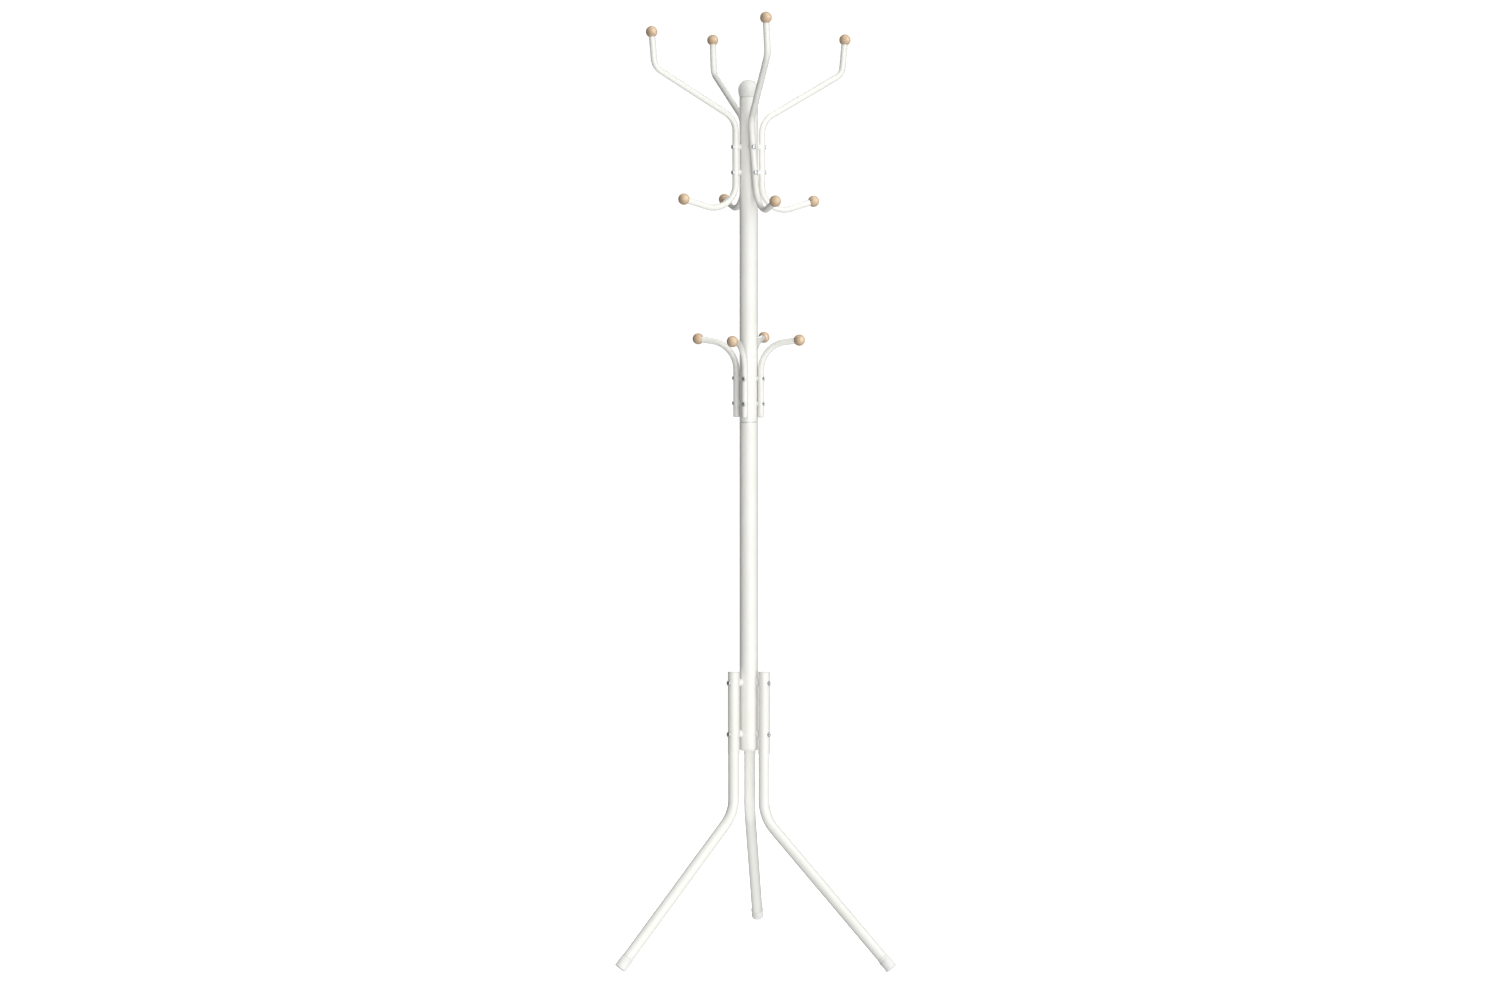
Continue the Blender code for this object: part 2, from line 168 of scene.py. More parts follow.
TUBE_SIDES = 48
POST_SIDES = 96
BALL_SIDES = 64
FOOT_SIDES = 96
SMALL_SIDES = 48
BEND_STEP = math.radians(4)
STRAIGHT_STEP = 0.030
POST_STEP = 0.05
BEND_FLATTENS = 0.035
BEND_WIDENS = 0.025

# ---------------------------------------------------------------- lights and camera

WHITE = (1.0, 1.0, 1.0, 1.0)

# Each light's place in degrees to the right and up, as the camera sees it, then its softness and strength.
LIGHTS = {
    "front_level": (6, 0, 42, 0.72),
    "front_right": (44, 0, 40, 0.54),
    "front_high": (31, 35, 50, 0.95),
    "front_low": (24, -35, 50, 0.60),
    "overhead": (0, 85, 40, 0.62),
    "back": (180, 15, 40, 1.20),
    "right_rim": (122, 0, 60, 0.20),
}
BALL_LIGHT = (56, 20, 50, 2.5)
BOLT_LIGHT = (122, 0, 60, 1.4)
BACK_LEG_LIGHT = (-40, 0, 50, 0.7)
FLOOR_LIGHT = (0, 90, 70, 4.6)

# The light from the floor, the ceiling and the backdrop, by the direction in which each one lies.
WORLD_LIGHT = {(0, 0, -1): 0.80, (0, 0, 1): 0.56, (0, 1, 0): 0.30}
WORLD_SEEN = 1.1

FLOOR_R = 2.2
FLOOR_Z = -0.0004

LENS = 75.6
CAMERA_AT = (0.0024, -6.0, 1.4435)
CAMERA_TILT = 5.31

post_low, post_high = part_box("upper_post")
POST_AXIS = Vector(((post_low.x + post_high.x) / 2, (post_low.y + post_high.y) / 2, 0.0))


# ---------------------------------------------------------------- shader helpers


class Nodes:
    """A material's node tree, with short calls for adding and joining its nodes."""

    def __init__(self, name):
        self.material = bpy.data.materials.new(name)
        self.material.use_nodes = True
        self.tree = self.material.node_tree
        self.shader = self.tree.nodes["Principled BSDF"]

    def add(self, kind, inputs=None, **settings):
        node = self.tree.nodes.new(kind)
        for key, value in settings.items():
            setattr(node, key, value)
        for key, value in (inputs or {}).items():
            self.put(value, node.inputs[key])
        return node

    def put(self, value, socket):
        if isinstance(value, bpy.types.NodeSocket):
            self.tree.links.new(value, socket)
        else:
            socket.default_value = value

    def local(self):
        """Each piece's own coordinates, in metres, kept with its mesh."""
        return self.add("ShaderNodeAttribute", attribute_name="local").outputs["Vector"]

    def stretch(self, vector, scale):
        node = self.add("ShaderNodeVectorMath", {0: vector, 1: scale}, operation="MULTIPLY")
        return node.outputs["Vector"]

    def noise(self, vector, scale, detail=2.0, roughness=0.5):
        inputs = {"Vector": vector, "Scale": scale, "Detail": detail, "Roughness": roughness}
        return self.add("ShaderNodeTexNoise", inputs).outputs["Fac"]

    def math(self, operation, first, second=0.0):
        return self.add("ShaderNodeMath", {0: first, 1: second}, operation=operation).outputs[0]

    def radius(self, vector):
        """How far a place lies from the Z axis of its own coordinates."""
        parts = self.add("ShaderNodeSeparateXYZ", {0: vector})
        squares = [self.math("POWER", parts.outputs[i], 2.0) for i in (0, 1)]
        return self.math("SQRT", self.math("ADD", *squares))

    def ramp(self, fac, stops):
        node = self.add("ShaderNodeValToRGB", {"Fac": fac})
        elements = node.color_ramp.elements
        while len(elements) < len(stops):
            elements.new(0.5)
        for element, (position, colour) in zip(elements, stops):
            element.position = position
            element.color = (*colour, 1.0)
        return node.outputs["Color"]

    def map(self, value, low, high, to_low, to_high):
        inputs = {"Value": value, "From Min": low, "From Max": high, "To Min": to_low, "To Max": to_high}
        return self.add("ShaderNodeMapRange", inputs).outputs["Result"]

    def mix(self, fac, first, second):
        node = self.add("ShaderNodeMix", {"Factor": fac}, data_type="RGBA")
        self.put(first if isinstance(first, bpy.types.NodeSocket) else (*first, 1.0), node.inputs[6])
        self.put(second if isinstance(second, bpy.types.NodeSocket) else (*second, 1.0), node.inputs[7])
        return node.outputs[2]

    def painted_limb_shade(self, depth):
        """Painted shade: 0 on a surface seen square on, rising to depth on one that turns edge on."""
        facing = self.add("ShaderNodeLayerWeight", {"Blend": 0.5}).outputs["Facing"]
        return self.map(facing, 0.30, 0.90, 0.0, depth)

    def bump(self, height, distance):
        inputs = {"Height": height, "Distance": distance, "Strength": 1.0}
        self.set_shader("Normal", self.add("ShaderNodeBump", inputs).outputs["Normal"])

    def set_shader(self, name, value):
        self.put(value, self.shader.inputs[name])


def powder_coat():
    """Satin white powder coat, with its fine orange peel, a faint unevenness of tone and painted shade where
    it turns edge on.
    """
    n = Nodes("white_powder_coat")
    place = n.local()
    broad = n.noise(place, 14.0, 3.0)
    peel = n.noise(place, 620.0, 2.0, 0.45)
    grain = n.noise(place, 2600.0, 1.0)
    tones = [(0.30, (0.885, 0.880, 0.830)), (0.55, (0.905, 0.902, 0.862)), (0.75, (0.920, 0.918, 0.885))]
    # Painted shade: the white turns grey-brown where the tube turns edge on, as a shaded outline.
    edge_shaded_tone = n.mix(n.painted_limb_shade(0.80), n.ramp(broad, tones), (0.46, 0.45, 0.42))
    speck = n.map(grain, 0.62, 0.78, 0.0, 0.10)
    n.set_shader("Base Color", n.mix(speck, edge_shaded_tone, (0.70, 0.69, 0.64)))
    n.set_shader("Roughness", n.map(n.noise(place, 45.0, 4.0), 0.3, 0.7, 0.30, 0.42))
    n.bump(n.math("ADD", peel, n.math("MULTIPLY", grain, 0.25)), 0.00009)
    n.set_shader("Coat Weight", 0.25)
    n.set_shader("Coat Roughness", 0.18)
    n.set_shader("Specular IOR Level", 0.45)
    return n.material


def moulded_plastic(name, colour, shade, roughness):
    """Moulded plastic with a fine eroded texture."""
    n = Nodes(name)
    place = n.local()
    cloud = n.noise(place, 60.0, 3.0)
    spark = n.noise(place, 3200.0, 2.0, 0.6)
    n.set_shader("Base Color", n.mix(n.map(cloud, 0.3, 0.7, 0.0, 1.0), shade, colour))
    n.set_shader("Roughness", n.map(spark, 0.3, 0.7, roughness - 0.06, roughness + 0.06))
    n.bump(spark, 0.00004)
    n.set_shader("Specular IOR Level", 0.40)
    return n.material


def turned_wood():
    """Light close-grained wood with growth rings, fibres and small dark pores, under a thin seal, with
    painted shade where it turns edge on.
    """
    n = Nodes("natural_wood")
    place = n.add("ShaderNodeAttribute", attribute_name="grain").outputs["Vector"]
    wander = n.noise(n.stretch(place, (60.0, 60.0, 18.0)), 1.0, 3.0)
    growth = n.math("ADD", n.math("MULTIPLY", n.radius(place), 520.0), n.math("MULTIPLY", wander, 3.2))
    late = n.math("POWER", n.math("FRACT", growth), 2.4)
    fibre = n.noise(n.stretch(place, (2600.0, 2600.0, 130.0)), 1.0, 4.0, 0.6)
    pore = n.noise(n.stretch(place, (5200.0, 5200.0, 420.0)), 1.0, 1.0)
    tones = [(0.28, (0.435, 0.322, 0.206)), (0.52, (0.520, 0.397, 0.268)), (0.78, (0.585, 0.465, 0.328))]
    base = n.ramp(n.noise(place, 90.0, 2.0), tones)
    ringed = n.mix(n.math("MULTIPLY", late, 0.55), base, (0.330, 0.190, 0.090))
    streaked = n.mix(n.map(fibre, 0.42, 0.75, 0.0, 0.42), ringed, (0.280, 0.160, 0.075))
    porous = n.mix(n.map(pore, 0.66, 0.74, 0.0, 0.50), streaked, (0.230, 0.130, 0.065))
    # Painted shade: the wood turns deep brown where the ball turns edge on.
    n.set_shader("Base Color", n.mix(n.painted_limb_shade(0.60), porous, (0.140, 0.080, 0.038)))
    n.set_shader("Roughness", n.map(fibre, 0.3, 0.7, 0.40, 0.56))
    dip = n.math("SUBTRACT", n.math("MULTIPLY", fibre, 0.5), n.map(pore, 0.64, 0.74, 0.0, 0.8))
    n.bump(dip, 0.00008)
    n.set_shader("Coat Weight", 0.12)
    n.set_shader("Coat Roughness", 0.35)
    return n.material


def plated_steel():
    """Bright zinc plating, with the faint rings that turning leaves and a slight mottle."""
    n = Nodes("zinc_plated_steel")
    place = n.local()
    turning = n.math("SINE", n.math("MULTIPLY", n.radius(place), 42000.0))
    mottle = n.noise(place, 700.0, 3.0)
    tones = [(0.3, (0.50, 0.50, 0.50)), (0.7, (0.68, 0.69, 0.70))]
    n.set_shader("Base Color", n.ramp(mottle, tones))
    n.set_shader("Roughness", n.map(mottle, 0.3, 0.7, 0.16, 0.30))
    n.bump(n.math("MULTIPLY", turning, 0.5), 0.000015)
    n.set_shader("Metallic", 1.0)
    return n.material


PAINT = powder_coat()
PLASTIC = moulded_plastic("white_plastic", (0.87, 0.87, 0.845), (0.82, 0.82, 0.795), 0.42)
CAP_PLASTIC = moulded_plastic("cap_plastic", (0.85, 0.86, 0.82), (0.79, 0.80, 0.76), 0.40)
WOOD = turned_wood()
STEEL = plated_steel()


# ---------------------------------------------------------------- mesh helpers


def ring(radius_at, height, sides):
    """Points round the Z axis at a height. radius_at is a number or a function of the angle."""
    points = []
    for i in range(sides):
        angle = 2 * math.pi * i / sides
        radius = radius_at(angle) if callable(radius_at) else radius_at
        points.append(Vector((radius * math.cos(angle), radius * math.sin(angle), height)))
    return points


def skin(rings, closed):
    """Vertices and faces of a surface through successive rings. A ring of one point is a pole."""
    points, starts, faces = [], [], []
    for loop in rings:
        starts.append(len(points))
        points += loop
    pairs = list(zip(range(len(rings)), range(1, len(rings))))
    if closed:
        pairs.append((len(rings) - 1, 0))
    for a, b in pairs:
        first, second = rings[a], rings[b]
        count = max(len(first), len(second))
        for i in range(count):
            j = (i + 1) % count
            if len(first) == 1:
                faces.append((starts[a], starts[b] + i, starts[b] + j))
            elif len(second) == 1:
                faces.append((starts[a] + i, starts[b], starts[a] + j))
            else:
                faces.append((starts[a] + i, starts[b] + i, starts[b] + j, starts[a] + j))
    return points, faces


def face_outwards(mesh):
    """Turns every face of a closed surface outwards."""
    shell = bmesh.new()
    shell.from_mesh(mesh)
    bmesh.ops.recalc_face_normals(shell, faces=shell.faces)
    shell.to_mesh(mesh)
    shell.free()


def piece(name, points, faces, place, material, nodes=(), local=None, grain=None, sharp=40):
    """Makes a piece of the object from points in its own frame, and sets it on the CAD frame."""
    mesh = bpy.data.meshes.new(name)
    mesh.from_pydata([place @ point for point in points], [], faces)
    face_outwards(mesh)
    own = mesh.attributes.new("local", "FLOAT_VECTOR", "POINT")
    for item, point in zip(own.data, local or points):
        item.vector = point
    if grain is not None:
        fibres = mesh.attributes.new("grain", "FLOAT_VECTOR", "POINT")
        for item, point in zip(fibres.data, points):
            item.vector = grain @ point
    mesh.shade_smooth()
    mesh.set_sharp_from_angle(angle=math.radians(sharp))
    mesh.materials.append(material)
    obj = bpy.data.objects.new(name, mesh)
    bpy.context.scene.collection.objects.link(obj)
    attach(obj, "root")
    if nodes:
        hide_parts(*nodes)
    return obj


def lathe(name, profile, sides, place, material, nodes=(), closed=False, grain=None, sharp=40):
    """A turned piece, from (radius, height) points that run down its outer side. A zero radius is a pole."""
    rings = [[Vector((0.0, 0.0, h))] if r == 0.0 else ring(r, h, sides) for r, h in profile]
    points, faces = skin(rings, closed)
    return piece(name, points, faces, place, material, nodes, grain=grain, sharp=sharp)


def arc(centre, radius, start, end, steps):
    """(radius, height) points on an arc, with angles in degrees above the horizontal."""
    angles = [math.radians(start + (end - start) * i / steps) for i in range(steps + 1)]
    return [(centre[0] + radius * math.cos(a), centre[1] + radius * math.sin(a)) for a in angles]


def out_frame(angle, height=0.0, lean=0.0):
    """The frame of an arm, hook or leg: X points out from the post at this angle, in degrees."""
    turn = Matrix.Rotation(math.radians(angle), 4, "Z") @ Matrix.Rotation(math.radians(lean), 4, "X")
    return Matrix.Translation(POST_AXIS + Vector((0.0, 0.0, height))) @ turn


def along(centre, direction):
    """A frame at (x, z) whose Z axis runs along direction, in an arm's own XZ plane."""
    turn = Matrix.Rotation(math.atan2(direction[0], direction[1]), 4, "Y")
    return Matrix.Translation((centre[0], 0.0, centre[1])) @ turn


def toward(start, end):
    """The step from start to end, as (x, z)."""
    return (end[0] - start[0], end[1] - start[1])


def past(end, direction, distance):
    """The point this far beyond `end` along (x, z)."""
    length = math.hypot(*direction)
    return (end[0] + direction[0] / length * distance, end[1] + direction[1] / length * distance)


def bent_line(corners, radii):
    """Samples (point, tangent, bend) along a path with rounded corners. bend is 1 in a bend's middle."""
    corners = [Vector(corner) for corner in corners]
    samples = []

    def straight(start, end):
        run = end - start
        count = max(1, round(run.length / STRAIGHT_STEP))
        for i in range(count):
            samples.append((start + run * i / count, run.normalized(), 0.0))

    start = corners[0]
    for before, corner, after, radius in zip(corners, corners[1:], corners[2:], radii):
        incoming = (corner - before).normalized()
        outgoing = (after - corner).normalized()
        turn = abs(incoming.angle(outgoing))
        tangent = radius * math.tan(turn / 2)
        begin = corner - incoming * tangent
        straight(start, begin)
        side = (outgoing - incoming * outgoing.dot(incoming)).normalized()
        centre = begin + side * radius
        steps = max(4, round(turn / BEND_STEP))
        for i in range(steps):
            swung = turn * i / steps
            point = centre - side * radius * math.cos(swung) + incoming * radius * math.sin(swung)
            heading = incoming * math.cos(swung) + side * math.sin(swung)
            bend = math.sin(math.pi * i / steps) ** 0.5
            samples.append((point, heading, bend))
        start = corner + outgoing * tangent
    straight(start, corners[-1])
    samples.append((corners[-1], (corners[-1] - corners[-2]).normalized(), 0.0))
    return samples


def turn_round(axis, turn):
    """Turns what it is given by `turn` degrees round the line x = axis."""
    there = Matrix.Translation((axis, 0.0, 0.0))
    return there @ Matrix.Rotation(math.radians(turn), 4, "Z") @ there.inverted()


def bent_tube(name, corners, radii, radius, place, turned=None):
    """A hollow tube along a bent line, slightly oval in its bends, with eased rims and an open bore.

    The two matrices in `turned` move its parts above and below z = 0.
    """
    samples = bent_line(corners, radii)
    runs = [0.0]
    for (first, _, _), (second, _, _) in zip(samples, samples[1:]):
        runs.append(runs[-1] + (second - first).length)
    rings, local = [], []

    def section(index, size, shift=0.0):
        point, heading, bend = samples[index]
        centre = point + heading * shift
        across = Vector((-heading.y, heading.x))
        flat, wide = size * (1 - BEND_FLATTENS * bend), size * (1 + BEND_WIDENS * bend)
        loop = []
        for i in range(TUBE_SIDES):
            angle = 2 * math.pi * i / TUBE_SIDES
            spot = centre + across * flat * math.cos(angle)
            point = Vector((spot.x, wide * math.sin(angle), spot.y))
            if turned:
                above, below = turned
                point = (below if centre.y < 0.0 else above) @ point
            loop.append(point)
            local.append(Vector((size * math.cos(angle), size * math.sin(angle), runs[index] + shift)))
        rings.append(loop)

    last = len(samples) - 1
    edge = WALL * 0.3
    bore = radius - WALL
    section(0, radius - edge)
    section(0, radius, edge)
    for index in range(1, last):
        section(index, radius)
    section(last, radius, -edge)
    section(last, radius - edge)
    section(last, bore)
    for index in range(last - 1, 0, -1):
        section(index, bore)
    section(0, bore)
    points, faces = skin(rings, closed=True)
    return piece(name, points, faces, place, PAINT, [name], local=local)


# ---------------------------------------------------------------- balls, bolts, spacers, plugs and feet


def add_ball(name, centre, direction, place):
    """A turned wooden ball with a blind bore for the tube's end. Its grain lies at its own angle."""
    dice = random.Random(name)
    mouth = math.acos(BALL_MOUTH_R / BALL_R)
    outside = arc((0.0, 0.0), BALL_R, 90, -math.degrees(mouth), 30)[1:]
    lip = BALL_R * math.sin(mouth)
    end = BALL_SEAT + FIT
    profile = [(0.0, BALL_R), *outside, (BALL_BORE_R, 0.0005 - lip), (BALL_BORE_R, end), (0.0, end)]
    tilt = Matrix.Rotation(math.radians(dice.uniform(55, 125)), 4, "X")
    spin = Matrix.Rotation(math.radians(dice.uniform(0, 360)), 4, "Z")
    offset = Matrix.Translation((dice.uniform(0.012, 0.035), dice.uniform(-0.02, 0.02), dice.uniform(-1, 1)))
    grain = offset @ tilt @ spin
    spot = place @ along(centre, direction)
    return lathe(name, profile, BALL_SIDES, spot, WOOD, [name], grain=grain)


def add_bolt(name, size, axis, tube_r, height, place):
    """A button-head bolt with a hexagon socket. The head's underside follows the tube that it holds."""
    sides = SMALL_SIDES
    head, tall, shank = size["head"], size["tall"], size["shank"]
    seat = axis + tube_r
    reach = seat - (POST_R - BOLT_REACH)

    def hexagon(scale):
        return lambda angle: size["key"] * scale / math.cos((angle % (math.pi / 3)) - math.pi / 6)

    spread = (0.52, 0.64, 0.75, 0.85, 0.93, 0.98)
    crown = [(head * k, tall * math.sqrt(1 - (k * 0.92) ** 2)) for k in spread]
    rings = [[Vector((0.0, 0.0, tall * 0.30))]]
    rings.append(ring(hexagon(0.97), tall * 0.36, sides))
    rings.append(ring(hexagon(1.0), tall * 0.84, sides))
    rings.append(ring(hexagon(1.12), tall * 0.90, sides))
    rings += [ring(r, h, sides) for r, h in crown]
    rings.append(ring(head, tall * 0.30, sides))

    def saddle(point):
        """The height of the round tube's side at this point, measured from the seat."""
        return math.sqrt(tube_r**2 - point.y**2) - tube_r

    rings.append([Vector((p.x, p.y, saddle(p))) for p in ring(head, 0.0, sides)])
    rings.append([Vector((p.x, p.y, saddle(p) - 0.0002)) for p in ring(head * 0.8, 0.0, sides)])
    rings.append(ring(shank, -0.0004, sides))
    rings.append(ring(shank, -reach + 0.0005, sides))
    rings.append(ring(shank - 0.0005, -reach, sides))
    rings.append([Vector((0.0, 0.0, -reach))])
    points, faces = skin(rings, closed=False)
    turn = Matrix.Translation((seat, 0.0, height)) @ Matrix.Rotation(math.radians(90), 4, "Y")
    return piece(name, points, faces, place @ turn, STEEL, [name], sharp=30)


def add_spacer(name, axis, tube_r, radius, bore, height, place):
    """A plastic washer, saddle-shaped on both faces, between the post and the tube bolted to it."""
    edge = SPACER_EDGE

    def loop(size, face, inset):
        points = []
        for i in range(SMALL_SIDES):
            angle = 2 * math.pi * i / SMALL_SIDES
            y, z = size * math.cos(angle), size * math.sin(angle)
            near = math.sqrt(POST_R**2 - y**2) - 0.0001
            far = axis - math.sqrt(tube_r**2 - y**2) + 0.0001
            x = near + inset if face == "near" else far - inset
            points.append(Vector((x, y, z)))
        return points

    rings = [loop(bore, "near", 0.0), loop(radius - edge, "near", 0.0), loop(radius, "near", edge)]
    rings += [loop(radius, "far", edge), loop(radius - edge, "far", 0.0), loop(bore, "far", 0.0)]
    points, faces = skin(rings, closed=True)
    spot = place @ Matrix.Translation((0.0, 0.0, height))
    return piece(name, points, faces, spot, PLASTIC)


def fasten(kind, word, size, axis, tube_r, spacer_r, heights, place):
    """The two bolts of an arm, hook or leg, each with its spacer."""
    bore = size["shank"] + 0.0001
    for level, height in zip(("upper", "lower"), heights):
        add_bolt(f"{kind}_bolt_{word}_{level}", size, axis, tube_r, height, place)
        add_spacer(f"{kind}_spacer_{word}_{level}", axis, tube_r, spacer_r, bore, height, place)


def add_plug(name, tube_r, centre, facing, dome, place):
    """A plastic plug in a tube's end, with a low domed head as wide as the tube."""
    stem = tube_r - WALL - FIT
    angles = [i * math.pi / 24 for i in range(1, 11)]
    profile = [(0.0, FIT + dome)]
    profile += [(tube_r * math.sin(a), FIT + dome * math.cos(a) ** 0.8) for a in angles]
    profile += [(tube_r - 0.0001, 0.0006), (tube_r, 0.0004), (tube_r - 0.0001, 0.0002), (stem, 0.0001)]
    profile += [(stem, -TUBE_PLUG_DEPTH), (stem - WALL, -TUBE_PLUG_DEPTH)]
    profile += [(stem - WALL, -TUBE_PLUG_WEB), (0.0, -TUBE_PLUG_WEB)]
    return lathe(name, profile, SMALL_SIDES, place @ along(centre, facing), PLASTIC, [name])


def add_foot(name, end, down, place):
    """A plastic cup on the leg's lower end, with a grooved lip and a flat sole on its lowest corner."""
    inner = LEG_R + PLAY
    lip = FOOT_LENGTH
    top, bottom = lip - FOOT_BAND, lip - FOOT_BAND - GROOVE_WIDTH
    groove = FOOT_R - GROOVE_DEPTH
    profile = [(0.0, FOOT_END), (inner, FOOT_END), (inner, lip - EASE), (inner + EASE, lip)]
    profile += [(FOOT_R - 0.0004, lip), (FOOT_R, lip - 0.0005), (FOOT_R, top), (groove, top - GROOVE_SLOPE)]
    profile += [(groove, bottom + GROOVE_SLOPE), (FOOT_R, bottom), (FOOT_R, lip * 0.5)]
    profile += arc((FOOT_R - FOOT_EDGE, FOOT_EDGE), FOOT_EDGE, 0, -90, 6)
    profile += [(FOOT_R * k, 0.0) for k in (0.8, 0.7, 0.6, 0.5, 0.4, 0.0)]
    rings = [[Vector((0.0, 0.0, h))] if r == 0.0 else ring(r, h, FOOT_SIDES) for r, h in profile]
    local_points, faces = skin(rings, closed=False)
    tilted = place @ along(end, (-down[0], -down[1]))
    world = [tilted @ point for point in local_points]
    for point in world:
        point.z = max(point.z, 0.0)
    return piece(name, world, faces, Matrix.Identity(4), PLASTIC, [name], local=local_points)


# ---------------------------------------------------------------- arms, hooks and legs


def top_arm(word, angle, lean, climb, elbow, drop, turns):
    """An S-shaped arm. Its tip stands over its sloping run, and its lower end curls out into a hook."""
    place = out_frame(angle, ARM_LEVEL, lean)
    above, below = [turn_round(ARM_AXIS, turn) for turn in turns]
    tip = (ARM_TIP_R, ARM_TIP_Z + climb - ARM_LEVEL)
    crook = (ARM_TIP_R - ARM_TIP_FLARE, ARM_CROOK_Z + climb - ARM_LEVEL)
    upward = toward(crook, tip)
    knee = (ARM_AXIS, ARM_ELBOW_Z + elbow - ARM_LEVEL)
    ball = (ARM_HOOK_BALL[0], ARM_HOOK_BALL[1] - drop - ARM_LEVEL)
    bend_centre = (ARM_AXIS + ARM_HOOK_BEND, ARM_HOOK_BOTTOM_Z + ARM_HOOK_BEND - drop - ARM_LEVEL)
    run = toward(bend_centre, ball)
    slope = math.atan2(run[1], run[0]) + math.asin(ARM_HOOK_BEND / math.hypot(*run))
    outward = (math.cos(slope), math.sin(slope))
    corner = (ARM_AXIS, ball[1] - (ball[0] - ARM_AXIS) * math.tan(slope))
    corners = [past(tip, upward, BALL_SEAT), crook, knee, corner, past(ball, outward, BALL_SEAT)]
    radii = (ARM_CROOK_BEND, ARM_ELBOW_BEND, ARM_HOOK_BEND)
    bent_tube("top_arm_" + word, corners, radii, ARM_R, place, (above, below))
    add_ball("arm_upper_ball_" + word, tip, upward, place @ above)
    add_ball("arm_lower_ball_" + word, ball, outward, place @ below)
    heights = [height - ARM_LEVEL for height in ARM_BOLTS]
    fasten("arm", word, SMALL_BOLT, ARM_AXIS, ARM_R, ARM_SPACER_R, heights, place)


def middle_hook(word, angle):
    """A hook that rises along the post and curves outwards."""
    place = out_frame(angle)
    outward = (math.cos(HOOK_RISE), math.sin(HOOK_RISE))
    corner = (HOOK_AXIS, HOOK_BALL[1] - (HOOK_BALL[0] - HOOK_AXIS) * math.tan(HOOK_RISE))
    corners = [past(HOOK_BALL, outward, BALL_SEAT), corner, (HOOK_AXIS, HOOK_END_Z)]
    bent_tube("middle_hook_" + word, corners, (HOOK_BEND,), ARM_R, place)
    add_ball("hook_ball_" + word, HOOK_BALL, outward, place)
    add_plug("hook_end_plug_" + word, ARM_R, (HOOK_AXIS, HOOK_END_Z), (0, -1), HOOK_PLUG_DOME, place)
    fasten("hook", word, SMALL_BOLT, HOOK_AXIS, ARM_R, HOOK_SPACER_R, HOOK_BOLTS, place)


def leg(word, angle, reach, bend):
    """A leg bolted along the post's lower end, which bends outwards to its foot."""
    place = out_frame(angle)
    corner = (LEG_AXIS, LEG_BEND_Z + bend)
    splay = math.atan2(reach - LEG_AXIS, corner[1])
    foot = (reach, FOOT_R * math.sin(splay) - SOLE_DEPTH)
    down = toward(corner, foot)
    tube_end = past(foot, down, -FOOT_END - FIT)
    bent_tube("leg_" + word, [(LEG_AXIS, LEG_TOP), corner, tube_end], (LEG_BEND,), LEG_R, place)
    add_plug("leg_top_cap_" + word, LEG_R, (LEG_AXIS, LEG_TOP), (0, 1), LEG_CAP_DOME, place)
    add_foot("foot_" + word, foot, down, place)
    fasten("leg", word, LEG_BOLT, LEG_AXIS, LEG_R, LEG_SPACER_R, LEG_BOLTS, place)


# ---------------------------------------------------------------- post


def post_section(name, bottom, top):
    """One of the two tubes that make the post, with rounded ends."""
    outer, inner, edge = POST_R, POST_R - WALL, POST_EDGE
    profile = [(inner, top - EASE), (inner + EASE, top)]
    profile += arc((outer - edge, top - edge), edge, 90, 0, 3)
    count = round((top - bottom) / POST_STEP)
    profile += [(outer, top - (top - bottom) * i / count) for i in range(1, count)]
    profile += arc((outer - edge, bottom + edge), edge, 0, -90, 3)
    profile += [(inner + EASE, bottom), (inner, bottom + EASE)]
    lathe(name, profile, POST_SIDES, Matrix.Translation(POST_AXIS), PAINT, [name], closed=True)


def post_joiner():
    """The sleeve inside the post at its seam."""
    outer = POST_R - WALL - PLAY
    top, bottom = SEAM_Z + JOINER_UP, SEAM_Z - JOINER_DOWN
    profile = [(outer, top), (outer, bottom), (outer - WALL, bottom), (outer - WALL, top)]
    place = Matrix.Translation(POST_AXIS)
    lathe("post_joiner", profile, POST_SIDES, place, STEEL, ["post_joiner"], closed=True)


def post_cap():
    """An egg-shaped cap: it swells out over the post's end and closes in a dome."""
    base = POST_TOP + FIT
    waist = base + CAP_HEIGHT - CAP_BULGE_R
    stem = POST_R - WALL - FIT
    inner = stem - CAP_STEM_WALL
    rim = POST_R + CAP_OVERHANG
    dome = arc((0.0, waist), CAP_BULGE_R, 90, 0, 24)[1:]
    skirt = []
    for i in range(1, 11):
        t = i / 11
        swell = (CAP_BULGE_R - rim) * math.cos(t * math.pi / 2) ** 0.8
        skirt.append((rim + swell, waist - (waist - base) * t))
    profile = [(0.0, base + CAP_HEIGHT), *dome, *skirt, (rim, base + 0.0004), (rim - EASE, base)]
    profile += [(stem, base - 0.0001), (stem, base - CAP_STEM), (inner, base - CAP_STEM)]
    profile += [(inner, waist), (stem * 0.6, waist + stem * 0.5), (0.0, waist + stem * 0.7)]
    place = Matrix.Translation(POST_AXIS)
    lathe("post_cap", profile, POST_SIDES, place, CAP_PLASTIC, ["post_cap"])


def post_bottom_plug():
    """A flanged plug with a shallow dish in its face."""
    stem = POST_R - WALL - FIT
    inner = stem - WALL
    rim, face, gap = POST_R, -PLUG_FLANGE, -PLAY
    dish = rim - DISH_RIM
    profile = [(0.0, WALL), (inner, WALL), (inner, PLUG_DEPTH), (stem, PLUG_DEPTH), (stem, gap)]
    profile += [(rim - EASE, gap), (rim, gap - 0.0003), (rim, face + 0.0007), (rim - EASE, face + EASE)]
    profile += [(rim - 0.0007, face), (dish, face), (dish - DISH_DEPTH, face + DISH_DEPTH)]
    profile += [(0.0, face + DISH_DEPTH)]
    place = Matrix.Translation(POST_AXIS + Vector((0.0, 0.0, POST_BOTTOM)))
    lathe("post_bottom_plug", profile, POST_SIDES, place, PLASTIC, ["post_bottom_plug"])


